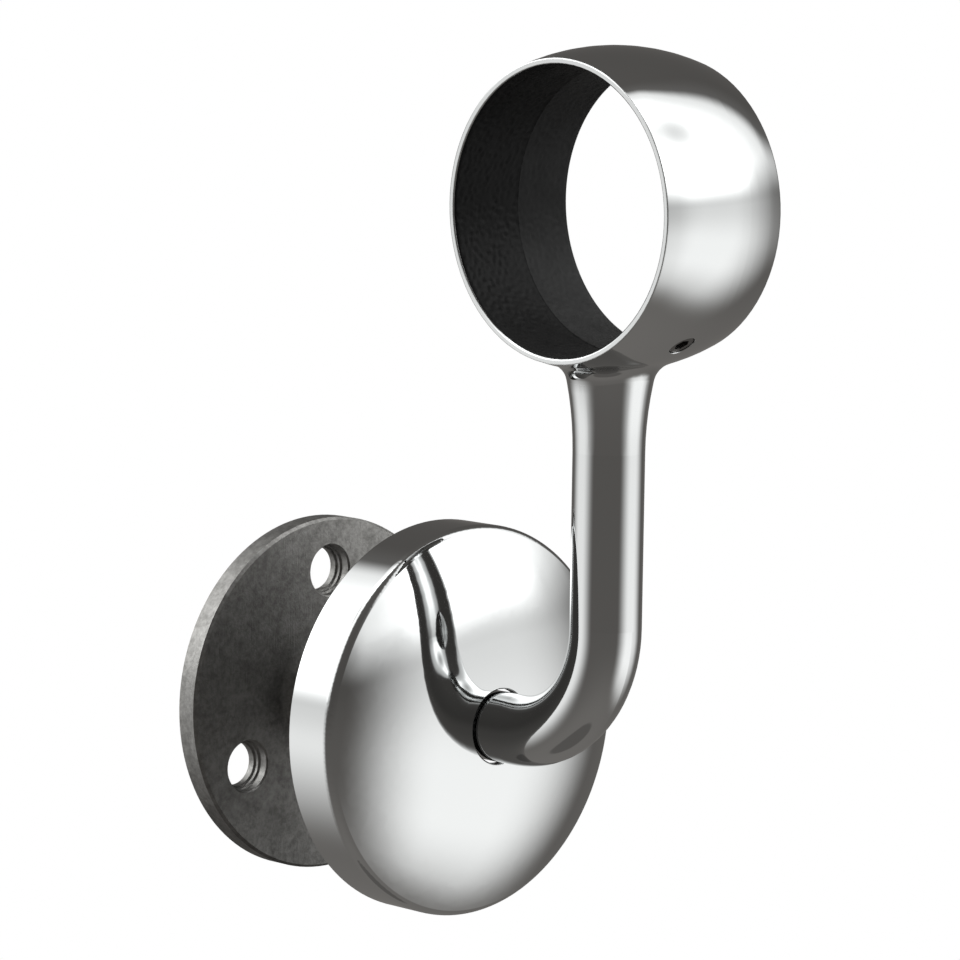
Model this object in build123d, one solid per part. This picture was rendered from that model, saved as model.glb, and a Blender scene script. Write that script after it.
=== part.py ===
"""Handrail bracket: a through ring for a round rail on a bent arm, a wall plate and a sliding cover rose.

Millimetres, +Z up. The wall face is the plane y = 0 with the wall on the +Y side, and the arm points to -Y.
The origin is the centre of the wall plate's back face. The rail runs along X through the ring.
"""

from build123d import *
import math
import os

os.makedirs("parts", exist_ok=True)

# Rail and ring
rail_d = 40.0
rail_clearance = 0.5
ring_width = 22.6
ring_wall_middle = 2.45
ring_wall_mouth = 0.8
mouth_chamfer = 0.15
rail_to_wall = 60.9
rail_above_screw = 75.9

# Arm
arm_d = 10.2
bend_radius = 17.0
flare_length = 12.5
flare_radius = 50.0
neck_fillet = 3.2
arm_end_chamfer = 0.4

# Wall plate
plate_d = 53.0
plate_thickness = 3.5
plate_edge_chamfer = 0.4
hub_d = 16.0
hub_height = 4.0
hub_fillet = 2.0
hub_chamfer = 0.4

# Wall screw holes in the plate, each a wide mouth that narrows in two small steps
wall_screw_count = 3
wall_screw_pcd = 37.1
wall_screw_hole_d = 6.5
wall_screw_seat_d = 7.6
wall_screw_seat_depth = 1.45
wall_screw_land_depth = 0.45
wall_screw_mouth_chamfer = 0.22
first_screw_angle = 90.0

# Centre screw, a low head M6, drawn at the mean diameter of its thread
centre_thread_d = 5.4
centre_screw_gap = 0.3
centre_head_d = 10.0
centre_head_height = 4.0
centre_head_sunk = 0.5
centre_thread_reach = 12.0
centre_hex = 4.0
centre_hex_depth = 2.0
head_chamfer = 0.5

# Grub screw, an M4 drawn at the mean diameter of its thread, in the underside of the ring away from the wall
grub_d = 3.6
grub_gap = 0.12
grub_hole_chamfer = 0.15
grub_angle = 37.0
grub_sunk = 0.25
grub_hex = 2.0
grub_hex_depth = 1.1

# Cover rose, shown slid off the plate
rose_d = 57.3
rose_depth = 13.85
rose_crown_radius = 110.0
rose_shoulder_drop = 2.15
rose_edge_radius = 1.6
rose_inner_edge_radius = 0.5
rose_wall = 1.2
rose_hole_gap = 0.35
rose_hole_chamfer = 0.2
rose_shown_off_wall = 26.5

# Spans of the spline that draws the section of the rose's dome
dome_steps = 8

# Values that follow from the ones above
bore_r = (rail_d + rail_clearance) / 2
mouth_r = bore_r + ring_wall_mouth
crown_r = bore_r + ring_wall_middle
ring_half = ring_width / 2
arm_r = arm_d / 2
hub_front = plate_thickness + hub_height
hub_r = hub_d / 2
rose_r = rose_d / 2
rose_hole_r = arm_r + rose_hole_gap
neck_top = rail_above_screw - bore_r - ring_wall_middle / 2
flare_start = neck_top - flare_length
head_pocket = centre_head_height + centre_head_sunk
centre_hole_r = centre_thread_d / 2 + centre_screw_gap


def turned_about_y(points_and_edges):
    """A solid of revolution about Y from a closed wire in the XY plane, given as a list of edges."""
    return revolve(make_face(Wire(points_and_edges)), Axis.Y)


def rod_y(radius, y_from, y_to):
    """A cylinder along Y between two y values."""
    start = Plane(origin=(0, y_from, 0), z_dir=(0, 1 if y_to > y_from else -1, 0))
    return extrude(start * Circle(radius), abs(y_to - y_from))


def ring_blank():
    """The ring without its bore: a barrel about X whose outside is one arc from mouth to mouth."""
    outside = ThreePointArc((-ring_half, mouth_r), (0, crown_r), (ring_half, mouth_r))
    outline = [
        Line((-ring_half, 0), (-ring_half, mouth_r)),
        outside,
        Line((ring_half, mouth_r), (ring_half, 0)),
        Line((ring_half, 0), (-ring_half, 0)),
    ]
    barrel = revolve(make_face(Wire(outline)), Axis.X)
    return Pos(0, -rail_to_wall, rail_above_screw) * barrel


def ring_bore():
    """The rail's hole with a small chamfer at each mouth."""
    hole = extrude(Plane.YZ * Circle(bore_r), ring_half, both=True)
    for side in (-1, 1):
        cone = Solid.make_cone(
            bore_r,
            bore_r + 2 * mouth_chamfer,
            2 * mouth_chamfer,
            Plane(origin=(side * (ring_half - mouth_chamfer), 0, 0), z_dir=(side, 0, 0)),
        )
        hole += cone
    return Pos(0, -rail_to_wall, rail_above_screw) * hole


def flared_neck():
    """The top of the post, turned about its own axis, which widens along an arc up to the ring."""
    rise = neck_top - flare_start
    widened = flare_radius - math.sqrt(flare_radius**2 - rise**2)
    middle = flare_radius - math.sqrt(flare_radius**2 - (rise / 2) ** 2)
    flare = ThreePointArc(
        (arm_r, flare_start),
        (arm_r + middle, flare_start + rise / 2),
        (arm_r + widened, neck_top),
    )
    outline = [
        Line((0, flare_start), (arm_r, flare_start)),
        flare,
        Line((arm_r + widened, neck_top), (0, neck_top)),
        Line((0, neck_top), (0, flare_start)),
    ]
    neck = revolve(Plane.XZ * make_face(Wire(outline)), Axis.Z)
    return Pos(0, -rail_to_wall, 0) * neck


def bent_rod():
    """The round rod: from the hub along -Y, round the bend and up to where the flare starts."""
    level = -(rail_to_wall - bend_radius)
    stub = rod_y(arm_r, -hub_front, level)
    foot = faces_facing(stub, Axis.Y)[-1]
    stub = chamfer(foot.edges(), arm_end_chamfer)
    bend = revolve(
        Plane(origin=(0, level, 0), z_dir=(0, -1, 0)) * Circle(arm_r),
        Axis((0, level, bend_radius), (1, 0, 0)),
        -90,
    )
    post = extrude(
        Plane(origin=(0, -rail_to_wall, bend_radius)) * Circle(arm_r),
        flare_start - bend_radius,
    )
    return stub + bend + post


def faces_facing(shape, axis):
    """The faces of a shape sorted along an axis."""
    return shape.faces().sort_by(axis)


def grub_place(radius):
    """A plane on the ring's middle, looking out of the grub screw's hole, at a distance from the rail's axis."""
    angle = math.radians(grub_angle)
    outward = Vector(0, -math.sin(angle), -math.cos(angle))
    centre = Vector(0, -rail_to_wall, rail_above_screw)
    return Plane(origin=centre + outward * radius, x_dir=(1, 0, 0), z_dir=outward)


def grub_hole():
    """The hole through the ring for the grub screw, with its chamfer at the crown."""
    hole_r = grub_d / 2 + grub_gap
    inside = bore_r - ring_wall_middle
    hole = extrude(grub_place(inside) * Circle(hole_r), crown_r - inside + 1)
    cone = Solid.make_cone(
        hole_r,
        hole_r + 3 * grub_hole_chamfer,
        3 * grub_hole_chamfer,
        grub_place(crown_r - grub_hole_chamfer),
    )
    return hole + cone


def bracket_arm():
    """The casting: ring, flared neck, post, bend and the stretch back to the hub, with its tapped hole."""
    blank = ring_blank() + flared_neck()
    joint_height = rail_above_screw - crown_r
    seam = [
        edge
        for edge in blank.edges()
        if abs(edge.center().Z - joint_height) < neck_fillet
        and math.hypot(edge.center().X, edge.center().Y + rail_to_wall) < arm_d
    ]
    casting = fillet(seam, neck_fillet) + bent_rod()
    casting -= ring_bore()
    casting -= grub_hole()
    casting -= rod_y(centre_hole_r, -hub_front, -hub_front - centre_thread_reach - centre_screw_gap)
    return casting


def plate_outline():
    """Half the section of the plate and its hub, as (radius, y) corners with y negative off the wall."""
    edge_r = plate_d / 2
    cut = plate_edge_chamfer
    return [
        (0, 0),
        (edge_r, 0),
        (edge_r, -plate_thickness + cut),
        (edge_r - cut, -plate_thickness),
        (hub_r, -plate_thickness),
        (hub_r, -hub_front + hub_chamfer),
        (hub_r - hub_chamfer, -hub_front),
        (0, -hub_front),
    ]


def screw_seat():
    """One wall screw's hole along Y at the origin: chamfered mouth, seat, land between two shoulders, hole."""
    hole_r = wall_screw_hole_d / 2
    seat_r = wall_screw_seat_d / 2
    shoulder = (seat_r - hole_r) / 2
    land_front = -plate_thickness + wall_screw_seat_depth + shoulder
    land_back = land_front + wall_screw_land_depth
    mouth = wall_screw_mouth_chamfer
    corners = [
        (0, 1),
        (hole_r, 1),
        (hole_r, land_back + shoulder),
        (hole_r + shoulder, land_back),
        (hole_r + shoulder, land_front),
        (seat_r, -plate_thickness + wall_screw_seat_depth),
        (seat_r, -plate_thickness + mouth),
        (seat_r + 2 * mouth, -plate_thickness - mouth),
        (0, -plate_thickness - mouth),
    ]
    return turned_about_y(Polyline(*corners, close=True).edges())


def wall_plate():
    """The round plate with its hub, the wall screw holes and the pocket for the centre screw."""
    plate = turned_about_y(Polyline(*plate_outline(), close=True).edges())
    root = [
        edge
        for edge in plate.edges().filter_by(GeomType.CIRCLE)
        if abs(edge.radius - hub_r) < 1e-3 and abs(edge.center().Y + plate_thickness) < 1e-3
    ]
    plate = fillet(root, hub_fillet)
    for index in range(wall_screw_count):
        angle = math.radians(first_screw_angle + index * 360 / wall_screw_count)
        reach = wall_screw_pcd / 2
        plate -= Pos(reach * math.cos(angle), 0, reach * math.sin(angle)) * screw_seat()
    plate -= rod_y(centre_head_d / 2 + centre_screw_gap, 0, -head_pocket)
    plate -= rod_y(centre_hole_r, -head_pocket, -hub_front)
    return plate


def hex_socket(across_flats, depth):
    """A hexagonal prism that grows along +Z from the XY plane."""
    return extrude(RegularPolygon(across_flats / 2, 6, major_radius=False), depth)


def centre_screw():
    """The low head screw that holds the arm to the plate, driven from behind the plate."""
    seat = -head_pocket
    head = rod_y(centre_head_d / 2, seat + centre_head_height, seat)
    rim = faces_facing(head, Axis.Y)[-1]
    head = chamfer(rim.edges(), head_chamfer)
    shank = rod_y(centre_thread_d / 2, seat, -hub_front - centre_thread_reach)
    tip = faces_facing(shank, Axis.Y)[0]
    shank = chamfer(tip.edges(), head_chamfer)
    top = Plane(origin=(0, seat + centre_head_height, 0), z_dir=(0, -1, 0))
    return head + shank - top * hex_socket(centre_hex, centre_hex_depth)


def grub_screw():
    """The headless screw, drawn with both ends inside the wall of the ring so that the rail's hole stays free."""
    outer = crown_r - grub_sunk
    inner = bore_r + grub_sunk
    body = extrude(grub_place(inner) * Circle(grub_d / 2), outer - inner)
    socket = grub_place(outer - grub_hex_depth) * hex_socket(grub_hex, grub_hex_depth)
    return body - socket


def dome_height(radius):
    """How far the rose's outer face stands off the plane of its rim, at a distance from the axis.

    The crown is nearly a sphere, and a term in the fourth power bends it down faster towards the shoulder.
    """
    crown_drop = radius**2 / (2 * rose_crown_radius)
    shoulder_drop = rose_shoulder_drop * (radius / rose_r) ** 4
    return rose_depth - crown_drop - shoulder_drop


def rose_body(inset):
    """The solid under the rose's outer face, with its band and its dome both drawn in by an inset."""
    band_r = rose_r - inset
    corner_y = inset - dome_height(band_r)
    points = []
    for step in range(dome_steps + 1):
        radius = band_r * step / dome_steps
        points.append((radius, inset - dome_height(radius)))
    slope = band_r / rose_crown_radius + 4 * rose_shoulder_drop * band_r**3 / rose_r**4
    outline = [
        Line((0, 0), (band_r, 0)),
        Line((band_r, 0), (band_r, corner_y)),
        Spline(*points, tangents=[(1, 0), (1, slope)]),
        Line((0, inset - rose_depth), (0, 0)),
    ]
    body = turned_about_y(outline)
    corner = [
        edge
        for edge in body.edges()
        if abs(edge.center().Y - corner_y) < 0.01 and abs(edge.bounding_box().size.X - 2 * band_r) < 0.01
    ]
    return fillet(corner, max(rose_edge_radius - inset, rose_inner_edge_radius))


def cover_rose():
    """The domed shell with the arm's hole, standing off the wall as shown."""
    shell = rose_body(0) - rose_body(rose_wall)
    shell -= rod_y(rose_hole_r, 0, -rose_depth - 1)
    mouths = [edge for edge in shell.edges() if abs(edge.bounding_box().size.X - 2 * rose_hole_r) < 0.01]
    rim = min(mouths, key=lambda edge: edge.center().Y)
    shell = chamfer(rim, rose_hole_chamfer)
    return Pos(0, -rose_shown_off_wall, 0) * shell


parts = {
    "bracket_arm": bracket_arm,
    "wall_plate": wall_plate,
    "cover_rose": cover_rose,
    "centre_screw": centre_screw,
    "grub_screw": grub_screw,
}

for node, build in parts.items():
    export_step(build(), f"parts/{node}.step")
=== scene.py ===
"""Looks and studio for a wall bracket that carries a round handrail.

The CAD model gives every shape and place. This script dresses its nodes, lays a rough cast lining into the
ring, and sets up the camera and the studio. Lengths are metres, with sizes written in millimetres times MM,
unless their name or their class says millimetres.
The wall is the plane y = 0, the arm stands off it towards -Y, the rail runs along X, and Z is up.
"""

import logging
import math
from dataclasses import dataclass, field
from enum import Enum
from typing import Any, Sequence

import bpy
import numpy as np
from mathutils import Matrix, Vector


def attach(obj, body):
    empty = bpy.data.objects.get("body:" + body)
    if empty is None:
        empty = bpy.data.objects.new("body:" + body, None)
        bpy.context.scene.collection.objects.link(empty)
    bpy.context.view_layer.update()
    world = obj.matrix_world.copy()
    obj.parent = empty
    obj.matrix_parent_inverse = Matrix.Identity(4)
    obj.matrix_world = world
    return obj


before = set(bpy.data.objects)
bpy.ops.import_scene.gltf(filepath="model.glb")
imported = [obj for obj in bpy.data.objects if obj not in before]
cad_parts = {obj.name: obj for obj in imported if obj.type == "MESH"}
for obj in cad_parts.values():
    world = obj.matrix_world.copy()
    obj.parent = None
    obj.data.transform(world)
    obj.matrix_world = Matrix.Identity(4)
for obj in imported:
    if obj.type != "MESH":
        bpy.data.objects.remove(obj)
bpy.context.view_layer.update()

MM = 0.001
# Most values of a noise texture lie between these two.
NOISE_SPAN = (0.3, 0.7)
# Operations that a formula's term gets from a range, where all others are plain arithmetic.
RANGES = ("LINEAR", "SMOOTHSTEP")
# One term of a formula: its name, its operation and its inputs.
Term = tuple[str, str, tuple[Any, ...]]
LOG = logging.getLogger("handrail_bracket")


class Body(Enum):
    """The CAD bodies that pieces ride on."""

    BRACKET = "bracket"
    ROSE = "rose"


class Node(Enum):
    """The CAD nodes that keep their own mesh and get a finish."""

    ARM = "bracket_arm"
    PLATE = "wall_plate"
    ROSE = "cover_rose"
    CENTRE_SCREW = "centre_screw"
    GRUB_SCREW = "grub_screw"


class Slot(Enum):
    """Names of the material slots."""

    CASTING = "chrome_casting"
    SHELL = "chrome_shell"
    PLATE = "raw_steel"
    SCREW = "screw_steel"
    GRUB = "grub_steel"


def linear(hex_colour: str) -> tuple[float, float, float, float]:
    """Turns an sRGB hex colour into linear RGBA.

    Each channel c is c / 12.92 up to 0.04045, and ((c + 0.055) / 1.055) ** 2.4 above it.

    Args:
        hex_colour: six hex digits, with or without a leading #.

    Returns:
        The linear red, green and blue, and an alpha of 1.
    """
    digits = hex_colour.lstrip("#")
    srgb = np.array([int(digits[i : i + 2], 16) for i in (0, 2, 4)]) / 255
    lin = np.where(srgb <= 0.04045, srgb / 12.92, ((srgb + 0.055) / 1.055) ** 2.4)
    return (float(lin[0]), float(lin[1]), float(lin[2]), 1.0)


def add_node(
    tree: bpy.types.NodeTree, kind: str, inputs: dict[Any, Any] | None = None, **settings: Any
) -> bpy.types.Node:
    """Adds a node with its settings, its constant inputs and its links.

    Args:
        tree: the node tree of a material or of the world.
        kind: the node's type, without the leading "ShaderNode".
        inputs: for each input's name or number, a constant or the output socket to link to it.
        settings: properties of the node, such as operation.

    Returns:
        The new node.
    """
    node = tree.nodes.new("ShaderNode" + kind)
    for name, value in settings.items():
        setattr(node, name, value)
    for key, value in (inputs or {}).items():
        if isinstance(value, bpy.types.NodeSocket):
            tree.links.new(value, node.inputs[key])
        else:
            node.inputs[key].default_value = value
    return node


def add_terms(
    tree: bpy.types.NodeTree, known: dict[str, bpy.types.NodeSocket], terms: Sequence[Term]
) -> dict[str, bpy.types.NodeSocket]:
    """Adds a formula that is written as a list of terms.

    Args:
        tree: the node tree of a material or of the world.
        known: outputs that the terms may name.
        terms: each term's name, its operation, and its inputs in the node's order. A word among the inputs
            stands for the output that has that name. A range's inputs are a value, its limits, and what these
            turn into.

    Returns:
        The known outputs and those of the terms, by name.
    """
    found = dict(known)
    for name, operation, inputs in terms:
        kind, setting = ("MapRange", "interpolation_type") if operation in RANGES else ("Math", "operation")
        values = [found[value] if isinstance(value, str) else value for value in inputs]
        found[name] = add_node(tree, kind, dict(enumerate(values)), **{setting: operation}).outputs[0]
    return found


def new_material(name: str) -> tuple[bpy.types.Material, bpy.types.NodeTree]:
    """Makes an empty node material.

    Args:
        name: the material's name.

    Returns:
        The material and its node tree.
    """
    material = bpy.data.materials.new(name)
    material.use_nodes = True
    material.node_tree.nodes.clear()
    return material, material.node_tree


def object_millimetres(tree: bpy.types.NodeTree, centre: Sequence[float] = (0, 0, 0)) -> bpy.types.NodeSocket:
    """Gives a place on the object in millimetres.

    Args:
        tree: the node tree of a material.
        centre: the place to measure from, in metres.

    Returns:
        The place, as an output to link.
    """
    place = add_node(tree, "TexCoord").outputs["Object"]
    moved = add_node(tree, "VectorMath", {0: place, 1: centre}, operation="SUBTRACT").outputs[0]
    return add_node(tree, "VectorMath", {0: moved, "Scale": 1 / MM}, operation="SCALE").outputs[0]


@dataclass(frozen=True)
class RingSizes:
    """Where the ring is, and how large, as the CAD has it."""

    centre: tuple[float, float, float] = (0.0, -60.9 * MM, 75.9 * MM)
    bore_radius: float = 20.25 * MM
    half_width: float = 11.3 * MM
    grub_angle: float = math.radians(37.0)
    grub_hole_radius: float = 1.92 * MM

    @property
    def hole_angle(self) -> float:
        """The grub screw's angle round the rail, where 0 points at the wall and a right angle points up."""
        return -math.pi / 2 - self.grub_angle


@dataclass(frozen=True)
class HandFinish:
    """Where hand polishing leaves the casting smoother than its mesh: the post's flare and the ring's rims.

    The flare's section is an arc that starts upright at the height flare_start, with its centre flare_centre
    away from the post's axis. So at the height z and the radius r the normal leans down by
    (z - flare_start) / (flare_centre - r), and the fillet above adds a little near its edge.
    All lengths but the axis are millimetres.
    """

    axis: tuple[float, float, float] = (0.0, -60.9 * MM, 0.0)
    flare_start: float = 41.925
    flare_centre: float = 55.1
    fillet_edge: float = 51.64
    fillet_reach: float = 1.2
    fillet_lean: float = 0.10
    # The flare's own normal takes over between these: across, above its start, and under the fillet's edge.
    side_blend: tuple[float, float] = (-5.75, -5.3)
    start_blend: tuple[float, float] = (45.925, 46.925)
    edge_blend: float = 0.08
    # The rims begin this far from the ring's middle plane.
    rim_start: float = 10.7
    rim_blend: float = 0.2
    rim_edge: float = 0.3

    def normal(self, tree: bpy.types.NodeTree) -> bpy.types.NodeSocket:
        """Gives the normal to polish from: the flare's own on its -X side, and the mesh's elsewhere.

        Args:
            tree: the node tree of the chrome.

        Returns:
            The normal, in world directions.
        """
        axes = add_node(tree, "SeparateXYZ", {"Vector": object_millimetres(tree, self.axis)}).outputs
        level = add_node(tree, "CombineXYZ", {"X": axes["X"], "Y": axes["Y"]}).outputs[0]
        radius = add_node(tree, "VectorMath", {0: level}, operation="LENGTH").outputs["Value"]
        edge = self.fillet_edge
        terms = (
            ("rise", "SUBTRACT", ("z", self.flare_start)),
            ("reach", "SUBTRACT", (self.flare_centre, "radius")),
            ("lean", "DIVIDE", ("rise", "reach")),
            ("extra_lean", "LINEAR", ("z", edge - self.fillet_reach, edge, 0.0, self.fillet_lean)),
            ("slope", "ADD", ("lean", "extra_lean")),
            ("down", "MULTIPLY", ("slope", "radius")),
            ("fall", "MULTIPLY", ("down", -1.0)),
            ("on_side", "SMOOTHSTEP", ("x", *self.side_blend, 1.0, 0.0)),
            ("past_start", "SMOOTHSTEP", ("z", *self.start_blend, 0.0, 1.0)),
            ("under_edge", "SMOOTHSTEP", ("z", edge, edge + self.edge_blend, 1.0, 0.0)),
            ("on_flare", "MULTIPLY", ("on_side", "past_start")),
            ("share", "MULTIPLY", ("on_flare", "under_edge")),
        )
        found = add_terms(tree, {"x": axes["X"], "z": axes["Z"], "radius": radius}, terms)
        own = add_node(tree, "CombineXYZ", {"X": axes["X"], "Y": axes["Y"], "Z": found["fall"]}).outputs[0]
        unit = add_node(tree, "VectorMath", {0: own}, operation="NORMALIZE").outputs[0]
        directions = {"vector_type": "NORMAL", "convert_from": "OBJECT", "convert_to": "WORLD"}
        world = add_node(tree, "VectorTransform", {"Vector": unit}, **directions).outputs[0]
        mesh_normal = add_node(tree, "NewGeometry").outputs["Normal"]
        mixed = {"Factor": found["share"], "A": mesh_normal, "B": world}
        return add_node(tree, "Mix", mixed, data_type="VECTOR").outputs["Result"]

    def edge_radius(self, tree: bpy.types.NodeTree, general_mm: float) -> bpy.types.NodeSocket:
        """Gives the radius that edges are rubbed to, larger at the ring's rims.

        Args:
            tree: the node tree of the chrome.
            general_mm: the radius everywhere else, in millimetres.

        Returns:
            The radius in metres.
        """
        across = add_node(tree, "SeparateXYZ", {"Vector": object_millimetres(tree)}).outputs["X"]
        radii = (general_mm * MM, self.rim_edge * MM)
        terms = (
            ("out", "ABSOLUTE", ("across",)),
            ("radius", "LINEAR", ("out", self.rim_start, self.rim_start + self.rim_blend, *radii)),
        )
        return add_terms(tree, {"across": across}, terms)["radius"]


@dataclass(frozen=True)
class PolishedChrome:
    """Decorative chrome plate over polished brass.

    A mirror: it shows the studio almost unblurred. Only a faint long-wave waviness from hand polishing and
    a trace of haze tell it from a perfect one. Buffing before the bath rounds every edge by about a tenth of
    a millimetre, which the Bevel node adds to the normals.
    """

    colour: str = "#B6B7B7"
    roughness: float = 0.035
    roughness_share: float = 0.3
    wave_mm: float = 9.0
    wave_depth_mm: float = 0.004
    haze_mm: float = 2.857
    edge_mm: float = 0.14

    def material(self, name: str, worked: HandFinish | None = None) -> bpy.types.Material:
        """Builds the mirror finish.

        Args:
            name: the material's name.
            worked: the places that are smoother than the mesh, on the casting alone.

        Returns:
            The new material.
        """
        material, tree = new_material(name)
        place = object_millimetres(tree)
        waves = {"Vector": place, "Scale": 1 / self.wave_mm, "Detail": 1.0, "Roughness": 0.4}
        wave = add_node(tree, "TexNoise", waves).outputs["Fac"]
        bump = add_node(tree, "Bump", {"Height": wave, "Distance": self.wave_depth_mm * MM, "Strength": 1.0})
        buffed = {"Radius": self.edge_mm * MM, "Normal": bump.outputs["Normal"]}
        if worked:
            tree.links.new(worked.normal(tree), bump.inputs["Normal"])
            buffed["Radius"] = worked.edge_radius(tree, self.edge_mm)
        edge = add_node(tree, "Bevel", buffed, samples=8)
        hazes = {"Vector": place, "Scale": 1 / self.haze_mm, "Detail": 3.0, "Roughness": 0.6}
        haze = add_node(tree, "TexNoise", hazes).outputs["Fac"]
        limits = (self.roughness * (1 - self.roughness_share), self.roughness * (1 + self.roughness_share))
        found = add_terms(tree, {"haze": haze}, (("rough", "LINEAR", ("haze", 0.0, 1.0, *limits)),))
        mirror = {
            "Base Color": linear(self.colour),
            "Metallic": 1.0,
            "Roughness": found["rough"],
            "Normal": edge.outputs["Normal"],
        }
        shader = add_node(tree, "BsdfPrincipled", mirror)
        add_node(tree, "OutputMaterial", {"Surface": shader.outputs["BSDF"]})
        return material


@dataclass(frozen=True)
class DullInside:
    """The raw inside of the pressed shell, satin because it isn't polished, with painted shade round the
    arm's hole.
    """

    colour: str = "#BAB9B7"
    # The colour of a painted shade on the inside round the arm's hole, which fades out over the radii below.
    hole_shade_colour: str = "#1C1B1B"
    roughness: float = 0.5
    crown: float = -10.0 * MM
    hole_shade_start: float = 6.2 * MM
    hole_shade_end: float = 8.5 * MM

    def mixed_with(self, chrome: PolishedChrome, name: str) -> bpy.types.Material:
        """Builds a shell's material: chrome on its outside and dull metal on its inside.

        With a place (x, y, z) and a normal n, the surface faces out where n . (x, crown, z) is above zero.

        Args:
            chrome: the finish of the outside.
            name: the material's name.

        Returns:
            The new material.
        """
        material = chrome.material(name)
        tree = material.node_tree
        output = next(node for node in tree.nodes if node.bl_idname == "ShaderNodeOutputMaterial")
        polished = output.inputs["Surface"].links[0].from_socket
        place = add_node(tree, "TexCoord")
        axes = add_node(tree, "SeparateXYZ", {"Vector": place.outputs["Object"]}).outputs
        outward = add_node(tree, "CombineXYZ", {"X": axes["X"], "Y": self.crown, "Z": axes["Z"]}).outputs[0]
        normal = place.outputs["Normal"]
        facing = add_node(tree, "VectorMath", {0: normal, 1: outward}, operation="DOT_PRODUCT")
        off_axis = add_node(tree, "CombineXYZ", {"X": axes["X"], "Z": axes["Z"]}).outputs[0]
        radius = add_node(tree, "VectorMath", {0: off_axis}, operation="LENGTH")
        terms = (
            ("outside", "GREATER_THAN", ("facing", 0.0)),
            # Painted shade: dark near the arm's hole, fading to the inside's own colour further out.
            ("past_hole_shade", "LINEAR", ("radius", self.hole_shade_start, self.hole_shade_end, 0.0, 1.0)),
        )
        known = {"facing": facing.outputs["Value"], "radius": radius.outputs["Value"]}
        found = add_terms(tree, known, terms)
        tones = {"Factor": found["past_hole_shade"], "A": linear(self.hole_shade_colour), "B": linear(self.colour)}
        tone = add_node(tree, "Mix", tones, data_type="RGBA").outputs["Result"]
        satin = {"Base Color": tone, "Metallic": 1.0, "Roughness": self.roughness}
        dull = add_node(tree, "BsdfPrincipled", satin)
        shell = add_node(tree, "MixShader", {0: found["outside"], 1: dull.outputs["BSDF"], 2: polished})
        tree.links.new(shell.outputs[0], output.inputs["Surface"])
        return material


@dataclass(frozen=True)
class CastWall:
    """The wall of the bore as it left the sand, dark and dull.

    Oxide keeps it nearly black, and a painted shadow darkens it along the line where the mould's halves met.
    Its lower part, which faces up into the ring's light, is made paler by painted light. The relief is in the
    mesh, so that only the grain finer than the grid is bump.
    """

    near_colour: str = "#121212"
    far_colour: str = "#1C1C1C"
    roughness: float = 0.42
    shine: float = 0.038
    blotch_mm: float = 4.545
    blotch_tones: tuple[float, float] = (0.8, 1.15)
    grain_mm: float = 0.35
    grain_depth_mm: float = 0.05
    parting_line: float = 1.2 * MM
    parting_blend_mm: float = 0.1
    # A painted shadow along the parting line: the distances from it in millimetres over which it fades, and
    # its darkest share.
    seam_shadow_mm: tuple[float, float] = (0.06, 0.16)
    seam_shadow_tone: float = 0.15
    # Painted light on the bore's lower part, which faces up into the ring's light: the heights in millimetres
    # over which it fades, and how much paler it is at the bottom.
    painted_light_mm: tuple[float, float] = (56.0, 72.0)
    painted_light_tone: float = 3.1

    def material(self, name: str) -> bpy.types.Material:
        """Builds the cast finish, which is darker on the near side of the parting line, towards -X.

        Args:
            name: the material's name.

        Returns:
            The new material.
        """
        material, tree = new_material(name)
        place = object_millimetres(tree)
        axes = add_node(tree, "SeparateXYZ", {"Vector": place}).outputs
        blotches = {"Vector": place, "Scale": 1 / self.blotch_mm, "Detail": 4.0, "Roughness": 0.6}
        grains = {"Vector": place, "Scale": 1 / self.grain_mm, "Detail": 3.0, "Roughness": 0.6}
        blotch = add_node(tree, "TexNoise", blotches).outputs["Fac"]
        grain = add_node(tree, "TexNoise", grains).outputs["Fac"]
        line, blend = self.parting_line / MM, self.parting_blend_mm
        terms = (
            ("side", "LINEAR", ("along", line - blend, line + blend, 0.0, 1.0)),
            ("patch", "LINEAR", ("blotch", *NOISE_SPAN, *self.blotch_tones)),
            ("off_line", "SUBTRACT", ("along", line)),
            ("aside", "ABSOLUTE", ("off_line",)),
            # A painted shadow darkens a thin line along the parting line.
            ("seam_shadow", "SMOOTHSTEP", ("aside", *self.seam_shadow_mm, self.seam_shadow_tone, 1.0)),
            # Painted light: the bore's lower part, which faces up, is made paler.
            ("painted_light", "SMOOTHSTEP", ("height", *self.painted_light_mm, self.painted_light_tone, 1.0)),
            ("patch_and_light", "MULTIPLY", ("patch", "painted_light")),
            ("shade", "MULTIPLY", ("patch_and_light", "seam_shadow")),
        )
        found = add_terms(tree, {"along": axes["X"], "height": axes["Z"], "blotch": blotch}, terms)
        tones = {"Factor": found["side"], "A": linear(self.near_colour), "B": linear(self.far_colour)}
        tone = add_node(tree, "Mix", tones, data_type="RGBA").outputs["Result"]
        colour = add_node(tree, "VectorMath", {0: tone, "Scale": found["shade"]}, operation="SCALE")
        relief = {"Height": grain, "Distance": self.grain_depth_mm * MM, "Strength": 0.5}
        bump = add_node(tree, "Bump", relief)
        cast = {
            "Base Color": colour.outputs[0],
            "Metallic": 0.0,
            "Roughness": self.roughness,
            "Specular IOR Level": self.shine,
            "Normal": bump.outputs["Normal"],
        }
        shader = add_node(tree, "BsdfPrincipled", cast)
        add_node(tree, "OutputMaterial", {"Surface": shader.outputs["BSDF"]})
        return material


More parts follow.
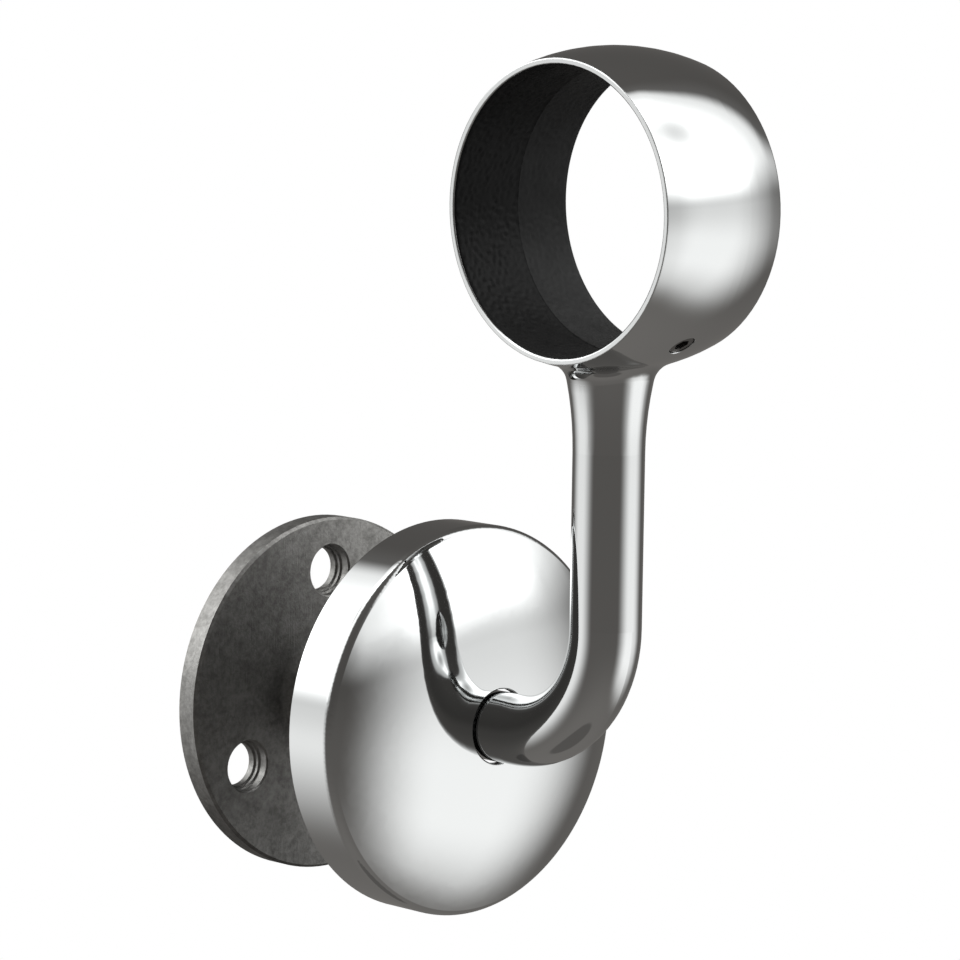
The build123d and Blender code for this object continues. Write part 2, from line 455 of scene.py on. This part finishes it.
@dataclass(frozen=True)
class RawSteel:
    """Hot rolled steel plate under a thin dark oxide, pressed and drilled.

    It is a dark metal with a satin sheen, clouded where the oxide is thicker, with fine mottling, small pits
    and scratches. Its colour is made darker towards the plate's lower edge.
    """

    dark_colour: str = "#646361"
    light_colour: str = "#868583"
    tone_span: tuple[float, float] = (0.35, 0.65)
    mottle_share: float = 0.42
    roughness: float = 0.46
    roughness_swing: float = 0.03
    cloud_mm: float = 4.0
    mottle_mm: float = 0.9
    pit_mm: float = 0.4
    relief_mm: float = 0.035
    scratch_mm: tuple[float, float, float] = (0.22, 1.2, 7.0)
    scratch_turn: float = math.radians(28.0)
    scratch_peaks: tuple[float, float] = (0.62, 0.78)
    scratch_depth: float = 0.6
    # The colour is made darker towards the plate's lower edge, over these heights in millimetres, down to
    # this share.
    lower_darkening_mm: tuple[float, float] = (-25.0, -6.0)
    lower_darkening_tone: float = 0.48

    def material(self, name: str) -> bpy.types.Material:
        """Builds the clouded satin metal.

        Args:
            name: the material's name.

        Returns:
            The new material.
        """
        material, tree = new_material(name)
        place = object_millimetres(tree)
        # Scratches from handling: noise drawn out along one direction, of which only the rare peaks count.
        drawn = {"Vector": place, "Rotation": (0.0, self.scratch_turn, 0.0)}
        drawn["Scale"] = tuple(1 / length for length in self.scratch_mm)
        streak_place = add_node(tree, "Mapping", drawn).outputs[0]
        clouds = {"Vector": place, "Scale": 1 / self.cloud_mm, "Detail": 8.0, "Roughness": 0.8}
        noises = {
            "cloud": {**clouds, "Distortion": 0.15},
            "mottle": {"Vector": place, "Scale": 1 / self.mottle_mm, "Detail": 3.0, "Roughness": 0.65},
            "pit": {"Vector": place, "Scale": 1 / self.pit_mm, "Detail": 4.0, "Roughness": 0.6},
            "streak": {"Vector": streak_place, "Scale": 1.0, "Detail": 2.0},
        }
        known = {word: add_node(tree, "TexNoise", noise).outputs["Fac"] for word, noise in noises.items()}
        patches = {"Factor": self.mottle_share, "A": known["cloud"], "B": known["mottle"]}
        known["patchy"] = add_node(tree, "Mix", patches, data_type="FLOAT").outputs["Result"]
        known["height"] = add_node(tree, "SeparateXYZ", {"Vector": place}).outputs["Z"]
        limits = (self.roughness + self.roughness_swing, self.roughness - self.roughness_swing)
        terms = (
            ("tone", "SMOOTHSTEP", ("patchy", *self.tone_span, 0.0, 1.0)),
            # The colour is made darker towards the plate's lower edge.
            ("lower_darkening", "SMOOTHSTEP", ("height", *self.lower_darkening_mm, self.lower_darkening_tone, 1.0)),
            ("rough", "LINEAR", ("cloud", *NOISE_SPAN, *limits)),
            ("scratch", "LINEAR", ("streak", *self.scratch_peaks, 0.0, self.scratch_depth)),
            ("relief", "SUBTRACT", ("pit", "scratch")),
        )
        found = add_terms(tree, known, terms)
        tones = {"Factor": found["tone"], "A": linear(self.dark_colour), "B": linear(self.light_colour)}
        tone = add_node(tree, "Mix", tones, data_type="RGBA").outputs["Result"]
        colour = add_node(tree, "VectorMath", {0: tone, "Scale": found["lower_darkening"]}, operation="SCALE")
        relief = {"Height": found["relief"], "Distance": self.relief_mm * MM, "Strength": 1.0}
        bump = add_node(tree, "Bump", relief)
        steel = {
            "Base Color": colour.outputs[0],
            "Metallic": 1.0,
            "Roughness": found["rough"],
            "Normal": bump.outputs["Normal"],
        }
        shader = add_node(tree, "BsdfPrincipled", steel)
        add_node(tree, "OutputMaterial", {"Surface": shader.outputs["BSDF"]})
        return material


@dataclass(frozen=True)
class PlatedScrew:
    """Zinc plated or plain screw steel: a satin metal with fine turning marks."""

    colour: str
    roughness: float = 0.28
    roughness_swing: tuple[float, float] = (-0.06, 0.08)
    mark_mm: float = 0.15
    mark_depth_mm: float = 0.01

    def material(self, name: str) -> bpy.types.Material:
        """Builds the satin screw metal.

        Args:
            name: the material's name.

        Returns:
            The new material.
        """
        material, tree = new_material(name)
        place = object_millimetres(tree)
        cuts = {"Vector": place, "Scale": 1 / self.mark_mm, "Detail": 2.0, "Roughness": 0.5}
        mark = add_node(tree, "TexNoise", cuts).outputs["Fac"]
        limits = tuple(self.roughness + swing for swing in self.roughness_swing)
        found = add_terms(tree, {"mark": mark}, (("rough", "LINEAR", ("mark", 0.0, 1.0, *limits)),))
        bump = add_node(tree, "Bump", {"Height": mark, "Distance": self.mark_depth_mm * MM, "Strength": 0.5})
        satin = {
            "Base Color": linear(self.colour),
            "Metallic": 1.0,
            "Roughness": found["rough"],
            "Normal": bump.outputs["Normal"],
        }
        shader = add_node(tree, "BsdfPrincipled", satin)
        add_node(tree, "OutputMaterial", {"Surface": shader.outputs["BSDF"]})
        return material


def dress(node: Node, material: bpy.types.Material) -> bpy.types.Object:
    """Gives a CAD node its finish through its material slots.

    Args:
        node: the node to dress.
        material: its finish.

    Returns:
        The node's object.
    """
    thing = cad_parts[node.value]
    for place in thing.material_slots:
        place.material = material
    LOG.info("%s wears %s", node.value, material.name)
    return thing


def make_piece(
    name: str, vertices: np.ndarray, faces: np.ndarray, body: Body
) -> bpy.types.Object:
    """Makes a piece from arrays, smooth shaded, and has it ride on a body.

    Args:
        name: the piece's name.
        vertices: places in metres, one row each.
        faces: vertex numbers, one row of four for each face.
        body: the CAD body that it rides on.

    Returns:
        The new object.
    """
    mesh = bpy.data.meshes.new(name)
    mesh.from_pydata(vertices.tolist(), [], faces.tolist())
    mesh.polygons.foreach_set("use_smooth", np.ones(len(mesh.polygons), bool))
    mesh.update()
    thing = bpy.data.objects.new(name, mesh)
    bpy.context.scene.collection.objects.link(thing)
    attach(thing, body.value)
    LOG.info("%s: %d vertices, %d faces", name, len(vertices), len(faces))
    return thing


@dataclass
class Studio:
    """Two tall soft boxes that face each other across the bracket, over a grey floor, in front of pure white.

    The boxes stand at one heading and at the opposite one. The camera sees plain white all round. Everything
    else sees the boxes, their blurred image in the floor, and the grey room between them. Angles are degrees.
    The brightness values are those that the chrome gives back, so they are divided by its reflectance.
    """

    heading: float = 39.5
    lamp_height: float = 46.0
    lamp_patch: float = 17.0
    lamp_patch_tone: float = 0.29
    chrome: float = 0.47
    box_tint: tuple[float, float, float] = (0.992, 1.003, 1.002)
    room_tint: tuple[float, float, float] = (1.05, 1.0, 0.95)
    floor_drop: float = 0.25
    floor_size: float = 6.0
    floor_colour: str = "#F2F2F2"

    def angles(self) -> tuple[Term, ...]:
        """Terms for where a direction points, seen from the boxes.

        For a unit direction (x, y, z) and the boxes' heading h, along is (x, y) . (sin h, -cos h), across is
        (x, y) . (cos h, sin h), the height is asin z and the side is atan(across / |along|).

        Returns:
            The terms from the height to the share that counts as the front.
        """
        turn = math.radians(self.heading)
        # Just over 1, so that straight up and straight down still have a level part to divide by.
        full_square = 1.0001
        return (
            ("tilt", "ARCSINE", ("z",)),
            ("height", "DEGREES", ("tilt",)),
            ("y_along", "MULTIPLY", ("y", -math.cos(turn))),
            ("along", "MULTIPLY_ADD", ("x", math.sin(turn), "y_along")),
            ("y_across", "MULTIPLY", ("y", math.sin(turn))),
            ("across", "MULTIPLY_ADD", ("x", math.cos(turn), "y_across")),
            ("facing", "SIGN", ("along",)),
            ("folded", "MULTIPLY", ("across", "facing")),
            ("distance", "ABSOLUTE", ("along",)),
            ("swing", "ARCTAN2", ("folded", "distance")),
            ("side", "DEGREES", ("swing",)),
            ("apart", "ABSOLUTE", ("side",)),
            ("z_squared", "MULTIPLY", ("z", "z")),
            ("level_squared", "SUBTRACT", (full_square, "z_squared")),
            ("level", "SQRT", ("level_squared",)),
            ("ahead", "DIVIDE", ("along", "level")),
            ("front", "SMOOTHSTEP", ("ahead", -0.05, 0.05, 0.0, 1.0)),
        )

    def room(self) -> tuple[Term, ...]:
        """Terms for the grey room, which is paler below the horizon, with the stand's foot at the bottom.

        Returns:
            The terms from the share above the horizon to the room's light.
        """
        return (
            ("is_above", "SMOOTHSTEP", ("height", -14.0, 12.0, 0.0, 1.0)),
            ("above", "SMOOTHSTEP", ("height", 5.0, 80.0, 0.0566, 0.0765)),
            ("floor_tone", "SMOOTHSTEP", ("height", -68.0, -10.0, 0.122, 0.0810)),
            ("foot_tone", "SMOOTHSTEP", ("height", -75.0, -71.5, 0.63, 1.0)),
            ("below", "MULTIPLY", ("floor_tone", "foot_tone")),
            ("tone_step", "SUBTRACT", ("above", "below")),
            ("room", "MULTIPLY_ADD", ("is_above", "tone_step", "below")),
        )

    def boxes(self) -> tuple[Term, ...]:
        """Terms for the soft boxes, which stand over the horizon.

        Each has a sharp upright edge, a bright shoulder inside it and a brighter core, with a dimmer round
        patch at the lamp's height. A faint glow lies outside the edge.

        Returns:
            The terms from the edge's place to the glow.
        """
        lamp = math.radians(self.lamp_height)
        patch_edge = math.cos(math.radians(self.lamp_patch))
        return (
            ("low_right_edge", "SMOOTHSTEP", ("height", 16.0, 30.0, 45.5, 48.7)),
            ("high_right_edge", "SMOOTHSTEP", ("height", 34.0, 58.0, 0.0, -6.75)),
            ("right_edge", "ADD", ("low_right_edge", "high_right_edge")),
            ("left_edge", "SMOOTHSTEP", ("height", 10.0, 32.0, 45.0, 46.5)),
            ("is_right", "SMOOTHSTEP", ("side", -5.0, 5.0, 0.0, 1.0)),
            ("edge_step", "SUBTRACT", ("right_edge", "left_edge")),
            ("edge", "MULTIPLY_ADD", ("is_right", "edge_step", "left_edge")),
            ("outside", "SUBTRACT", ("apart", "edge")),
            ("shoulder", "SMOOTHSTEP", ("outside", -23.6, -3.0, 0.356, 0.0)),
            ("core", "SMOOTHSTEP", ("outside", -34.0, -17.0, 1.2, 0.0)),
            ("raised", "ADD", ("shoulder", "core")),
            ("brightness", "ADD", ("raised", 0.684)),
            ("cut", "SMOOTHSTEP", ("outside", -6.14, 6.14, 1.0, 0.0)),
            ("profile", "MULTIPLY", ("cut", "brightness")),
            ("lamp_along", "MULTIPLY", ("distance", math.cos(lamp))),
            ("towards_lamp", "MULTIPLY_ADD", ("z", math.sin(lamp), "lamp_along")),
            ("patch", "LINEAR", ("towards_lamp", patch_edge, 1.0, 1.0, self.lamp_patch_tone)),
            ("patched", "MULTIPLY", ("profile", "patch")),
            ("bottom", "SMOOTHSTEP", ("height", 2.66, 19.4, 0.0, 1.0)),
            ("with_bottom", "MULTIPLY", ("patched", "bottom")),
            ("top", "SMOOTHSTEP", ("height", 74.0, 86.0, 1.0, 0.0)),
            ("box", "MULTIPLY", ("with_bottom", "top")),
            ("glow_width", "SMOOTHSTEP", ("outside", 0.0, 20.0, 0.0347, 0.0)),
            ("glow_bottom", "SMOOTHSTEP", ("height", 4.0, 9.0, 0.0, 1.0)),
            ("glow", "MULTIPLY", ("glow_width", "glow_bottom")),
        )

    def floor_image(self) -> tuple[Term, ...]:
        """Terms for the boxes' image in the floor, about as wide as they are, and cut off by its near edge.

        Returns:
            The terms from the image's bowed foot to its light.
        """
        return (
            ("side_squared", "MULTIPLY", ("side", "side")),
            ("bowed_height", "MULTIPLY_ADD", ("side_squared", -0.0035, "height")),
            ("front_tone", "SMOOTHSTEP", ("bowed_height", -60.4, -24.9, 0.0, 0.793)),
            ("front_cut", "SMOOTHSTEP", ("bowed_height", -59.0, -40.2, 0.0, 1.0)),
            ("front_image", "MULTIPLY", ("front_tone", "front_cut")),
            ("back_image", "SMOOTHSTEP", ("bowed_height", -53.5, -5.7, 0.0, 0.733)),
            ("image_step", "SUBTRACT", ("front_image", "back_image")),
            ("image_tone", "MULTIPLY_ADD", ("front", "image_step", "back_image")),
            ("narrowing", "SMOOTHSTEP", ("height", -16.0, 0.0, 0.0, 2.15)),
            ("image_side", "ADD", ("apart", "narrowing")),
            ("image_width", "SMOOTHSTEP", ("image_side", 8.75, 50.5, 1.0, 0.0)),
            ("wide_image", "MULTIPLY", ("image_tone", "image_width")),
            ("far_floor", "SMOOTHSTEP", ("height", -16.6, 2.6, 1.0, 0.767)),
            ("dimmed_image", "MULTIPLY", ("wide_image", "far_floor")),
            ("horizon", "SMOOTHSTEP", ("height", 1.5, 15.7, 1.0, 0.0)),
            ("image", "MULTIPLY", ("dimmed_image", "horizon")),
        )

    def totals(self) -> tuple[Term, ...]:
        """Terms for the light of the boxes and of the room, as it is before the chrome takes its share.

        Returns:
            The terms that end in the light of the boxes and of the room.
        """
        return (
            ("box_and_glow", "ADD", ("box", "glow")),
            ("all_boxes", "ADD", ("box_and_glow", "image")),
            ("box_light", "DIVIDE", ("all_boxes", self.chrome)),
            ("room_light", "DIVIDE", ("room", self.chrome)),
        )

    def world(self) -> None:
        """Builds the studio's light as a function of the direction, and plain white for the camera alone."""
        world = bpy.data.worlds.new("studio")
        bpy.context.scene.world = world
        world.use_nodes = True
        tree = world.node_tree
        tree.nodes.clear()
        direction = add_node(tree, "TexCoord").outputs["Generated"]
        axes = add_node(tree, "SeparateXYZ", {"Vector": direction}).outputs
        terms = self.angles() + self.room() + self.boxes() + self.floor_image() + self.totals()
        found = add_terms(tree, {"x": axes["X"], "y": axes["Y"], "z": axes["Z"]}, terms)
        box_colour = {0: self.box_tint, "Scale": found["box_light"]}
        room_colour = {0: self.room_tint, "Scale": found["room_light"]}
        both = {
            place: add_node(tree, "VectorMath", colour, operation="SCALE").outputs[0]
            for place, colour in enumerate((box_colour, room_colour))
        }
        seen_by_things = add_node(tree, "VectorMath", both, operation="ADD").outputs[0]
        is_camera = add_node(tree, "LightPath").outputs["Is Camera Ray"]
        mixture = {"Factor": is_camera, "A": seen_by_things, "B": (1.0, 1.0, 1.0, 1.0)}
        seen = add_node(tree, "Mix", mixture, data_type="RGBA").outputs["Result"]
        background = add_node(tree, "Background", {"Color": seen, "Strength": 1.0})
        add_node(tree, "OutputWorld", {"Surface": background.outputs["Background"]})

    def floor(self) -> None:
        """Lays a plain pale floor well below the bracket, white to the camera and unseen in the chrome."""
        half = self.floor_size / 2
        square = ((-half, -half), (half, -half), (half, half), (-half, half))
        mesh = bpy.data.meshes.new("floor")
        mesh.from_pydata([(x, y, -self.floor_drop) for x, y in square], [], [(0, 1, 2, 3)])
        thing = bpy.data.objects.new("floor", mesh)
        bpy.context.scene.collection.objects.link(thing)
        material, tree = new_material("white_paper")
        paper = add_node(tree, "BsdfDiffuse", {"Color": linear(self.floor_colour)})
        white = add_node(tree, "Emission", {"Color": (1.0, 1.0, 1.0, 1.0), "Strength": 1.0})
        is_camera = add_node(tree, "LightPath").outputs["Is Camera Ray"]
        mixture = {0: is_camera, 1: paper.outputs["BSDF"], 2: white.outputs["Emission"]}
        mixed = add_node(tree, "MixShader", mixture)
        add_node(tree, "OutputMaterial", {"Surface": mixed.outputs["Shader"]})
        mesh.materials.append(material)
        thing.visible_glossy = False
        thing.visible_shadow = False

    def build(self) -> None:
        """Sets up the light, the background and the floor."""
        self.world()
        self.floor()
        LOG.info("studio ready")


@dataclass
class Camera:
    """The photograph's viewpoint, from a perspective fit to the outlines of the real bracket."""

    heading: float = math.radians(-44.409)
    height: float = math.radians(7.2172)
    roll: float = math.radians(0.8328)
    aim: tuple[float, float, float] = (0.0, -25.0 * MM, 36.0 * MM)
    shift_right: float = 7.138 * MM
    shift_up: float = -1.6631 * MM
    distance: float = 653.55 * MM
    focal_pixels: float = 4485.2
    frame_pixels: float = 960.0
    sensor: float = 36.0
    clip: tuple[float, float] = (0.05, 20.0)

    def build(self) -> bpy.types.Object:
        """Makes the camera and hands it to the scene.

        The camera looks along -back with back = (sin h cos e, -cos h cos e, sin e), where h is its heading
        and e its height.

        Returns:
            The camera object.
        """
        sin_heading, cos_heading = math.sin(self.heading), math.cos(self.heading)
        sin_height, cos_height = math.sin(self.height), math.cos(self.height)
        back = Vector((sin_heading * cos_height, -cos_heading * cos_height, sin_height))
        level_right = Vector((cos_heading, sin_heading, 0.0))
        level_up = Vector((-sin_height * sin_heading, sin_height * cos_heading, cos_height))
        right = level_right * math.cos(self.roll) + level_up * math.sin(self.roll)
        up = level_up * math.cos(self.roll) - level_right * math.sin(self.roll)
        place = Vector(self.aim) + right * self.shift_right + up * self.shift_up + back * self.distance
        data = bpy.data.cameras.new("camera")
        data.sensor_width = self.sensor
        data.lens = self.focal_pixels / self.frame_pixels * self.sensor
        data.clip_start, data.clip_end = self.clip
        thing = bpy.data.objects.new("camera", data)
        pose = Matrix((right, up, back)).transposed().to_4x4()
        pose.translation = place
        thing.matrix_world = pose
        bpy.context.scene.collection.objects.link(thing)
        bpy.context.scene.camera = thing
        LOG.info("camera at %s, lens %.1f mm", tuple(round(v, 4) for v in place), data.lens)
        return thing


@dataclass
class BracketArm:
    """The casting: the ring, the post and the bend, with a rough lining inside the ring.

    On the unrolled bore, u runs round the girth from the grub screw's hole, and v along the rail.
    """

    ring: RingSizes = field(default_factory=RingSizes)
    worked: HandFinish = field(default_factory=HandFinish)
    chrome: PolishedChrome = field(default_factory=PolishedChrome)
    cast: CastWall = field(default_factory=CastWall)
    around: int = 424
    along: int = 75
    lining_wall: float = 0.25 * MM
    end_gap: float = 0.16 * MM
    end_ease: float = 0.5 * MM
    hole_ease: float = 0.6 * MM
    hole_reach: float = 3.0
    proud: float = 0.15 * MM
    near_relief: float = 0.048 * MM
    far_relief: float = 0.034 * MM
    relief_step: float = 0.2 * MM
    least_lift: float = 0.04 * MM
    ridge_height: float = 0.05 * MM
    ridge_width: float = 0.14 * MM
    grain: float = 1.1 * MM
    grain_spread: float = 0.55
    grain_limit: float = 2.5
    seed: int = 7

    @property
    def reach(self) -> float:
        """How far the lining runs to each side of the ring's middle."""
        return self.ring.half_width - self.end_gap

    def relief(self) -> np.ndarray:
        """Cast grain on the unrolled bore: white noise kept near one wavelength, the same on each run.

        Each Fourier component of the noise, at a frequency f, is scaled by exp(-((f g - 1) / spread)^2),
        where g is the grain's wavelength. The result has a standard deviation of 1 and is clipped at the
        grain's limit.

        Returns:
            Heights on the grid, around by along.
        """
        dice = np.random.default_rng(self.seed)
        noise = dice.standard_normal((self.around, self.along))
        girth = 2 * math.pi * self.ring.bore_radius
        width = 2 * self.ring.half_width
        f_around = np.fft.fftfreq(self.around, girth / self.around)[:, None]
        f_along = np.fft.fftfreq(self.along, width / self.along)[None, :]
        f = np.hypot(f_around, f_along)
        keep = np.exp(-(((f * self.grain - 1) / self.grain_spread) ** 2))
        grain = np.fft.ifft2(np.fft.fft2(noise) * keep).real
        return np.clip(grain / grain.std(), -self.grain_limit, self.grain_limit)

    def grid(self) -> tuple[np.ndarray, np.ndarray, np.ndarray]:
        """Lays a grid on the unrolled bore, and bends a square of it into the round of the grub screw's hole.

        A vertex is scaled away from the hole's middle by (1 - t) hole radius / |(u, v)| + t, where t grows
        from 0 on the square that becomes the hole's edge to 1 at hole_reach radii.

        Returns:
            The bent u and v, and which vertices are left out because they lie in the hole.
        """
        ring = self.ring
        angle = np.linspace(0, 2 * math.pi, self.around, endpoint=False)[:, None]
        angle, v = np.broadcast_arrays(angle, np.linspace(-self.reach, self.reach, self.along)[None, :])
        u = ((angle - ring.hole_angle + math.pi) % (2 * math.pi) - math.pi) * ring.bore_radius
        step = 2 * math.pi * ring.bore_radius / self.around
        inner, outer = ring.grub_hole_radius, self.hole_reach * ring.grub_hole_radius
        inner_square = (math.floor(inner / step) + 0.5) * step
        square = np.maximum(np.abs(u), np.abs(v))
        # The hole's own middle has no face, so it only has to keep clear of a division by zero.
        from_middle = np.maximum(np.hypot(u, v), 0.1 * step)
        t = np.clip((square - inner_square) / (outer - inner_square), 0, 1)
        bent = (square < outer) & (square >= inner_square)
        scale = np.where(bent, (1 - t) * inner / from_middle + t, 1.0)
        return u * scale, v * scale, square < inner_square

    def skin(self, u: np.ndarray, v: np.ndarray) -> np.ndarray:
        """Works out the radius of the lining's inner skin.

        The lift is proud + relief depth + ridge, where the depth steps from near to far over the parting line
        and the ridge is height exp(-((v - line) / width)^2). The radius is
        bore - least - (lift - least) ease(v) clear(u, v), where ease falls to 0 at both mouths and clear at
        the hole.

        Args:
            u: the grid's lengths round the girth.
            v: the grid's lengths along the rail.

        Returns:
            The radius at each vertex.
        """
        line = self.cast.parting_line
        edge = np.clip((self.reach - np.abs(v)) / self.end_ease, 0, 1)
        ease = edge * edge * (3 - 2 * edge)
        clear = np.clip((np.hypot(u, v) - self.ring.grub_hole_radius) / self.hole_ease, 0, 1)
        far_share = np.clip((v - line) / self.relief_step * 0.5 + 0.5, 0, 1)
        depth = self.near_relief + (self.far_relief - self.near_relief) * far_share
        ridge = self.ridge_height * np.exp(-(((v - line) / self.ridge_width) ** 2))
        lift = self.proud + self.relief() * depth + ridge
        return self.ring.bore_radius - self.least_lift - (lift - self.least_lift) * ease * clear

    def shell(self, left_out: np.ndarray) -> np.ndarray:
        """Joins two copies of the grid into a closed shell: inner skin, outer skin turned over, and rims.

        Args:
            left_out: which vertices of the grid have no faces.

        Returns:
            Vertex numbers, four for each face, where the outer skin's numbers follow the inner skin's.
        """
        rows = np.arange(self.around)[:, None]
        columns = np.arange(self.along - 1)[None, :]
        here = rows * self.along + columns
        beyond = (rows + 1) % self.around * self.along + columns
        quads = np.stack([here, here + 1, beyond + 1, beyond], -1).reshape(-1, 4)
        kept = quads[~left_out.reshape(-1)[quads].any(1)]
        count = self.around * self.along
        sides = np.concatenate([kept[:, [corner, (corner + 1) % 4]] for corner in range(4)])
        # A side is on a rim where no face has it the other way round.
        keys = sides[:, 0] * count + sides[:, 1]
        twins = sides[:, 1] * count + sides[:, 0]
        rim = sides[~np.isin(keys, twins)]
        rims = np.stack([rim[:, 1], rim[:, 0], rim[:, 0] + count, rim[:, 1] + count], -1)
        return np.concatenate([kept, kept[:, ::-1] + count, rims])

    def lining(self) -> bpy.types.Object:
        """Builds the lining: the bore's cylinder with cast grain and a parting line, open at the grub screw.

        At an angle a round the rail and a radius r, a vertex is at (v, r cos a, r sin a) from the ring's
        centre. The outer skin is a plain cylinder inside the casting's wall.

        Returns:
            The new piece.
        """
        u, v, left_out = self.grid()
        angle = self.ring.hole_angle + u / self.ring.bore_radius
        radius = np.stack([self.skin(u, v), np.full_like(u, self.ring.bore_radius + self.lining_wall)])
        x, y, z = np.broadcast_arrays(v, radius * np.cos(angle), radius * np.sin(angle))
        vertices = (np.stack([x, y, z], -1) + self.ring.centre).reshape(-1, 3)
        faces = self.shell(left_out)
        used = np.unique(faces)
        renumber = np.zeros(len(vertices), int)
        renumber[used] = np.arange(len(used))
        return make_piece("bore_lining", vertices[used], renumber[faces], Body.BRACKET)

    def build(self) -> None:
        """Dresses the casting and lines its ring."""
        dress(Node.ARM, self.chrome.material("chrome_on_casting", self.worked))
        self.lining().data.materials.append(self.cast.material("cast_wall"))


@dataclass
class WallPlate:
    """The steel plate that is screwed to the wall."""

    steel: RawSteel = field(default_factory=RawSteel)

    def build(self) -> None:
        """Dresses the plate."""
        dress(Node.PLATE, self.steel.material("oxidised_steel"))


@dataclass
class CoverRose:
    """The pressed shell that slides along the arm and hides the plate."""

    chrome: PolishedChrome = field(default_factory=PolishedChrome)
    inside: DullInside = field(default_factory=DullInside)

    def build(self) -> None:
        """Dresses the shell."""
        dress(Node.ROSE, self.inside.mixed_with(self.chrome, "chrome_on_shell"))


@dataclass
class Fasteners:
    """The screw that joins the arm and the plate, and the grub screw in the ring."""

    zinc: PlatedScrew = field(default_factory=lambda: PlatedScrew("#B9BABC"))
    plain: PlatedScrew = field(default_factory=lambda: PlatedScrew("#6E6C6A", 0.34))

    def build(self) -> None:
        """Dresses both screws."""
        dress(Node.CENTRE_SCREW, self.zinc.material("zinc_plate"))
        dress(Node.GRUB_SCREW, self.plain.material("plain_screw_steel"))


def main() -> None:
    """Builds the camera, the studio and the bracket's pieces."""
    logging.basicConfig(level=logging.INFO, format="%(name)s: %(message)s")
    bpy.context.scene.view_settings.view_transform = "Standard"
    Camera().build()
    Studio().build()
    for assembly in (BracketArm(), WallPlate(), CoverRose(), Fasteners()):
        assembly.build()
        LOG.info("built %s", type(assembly).__name__)


if __name__ == "__main__":
    main()
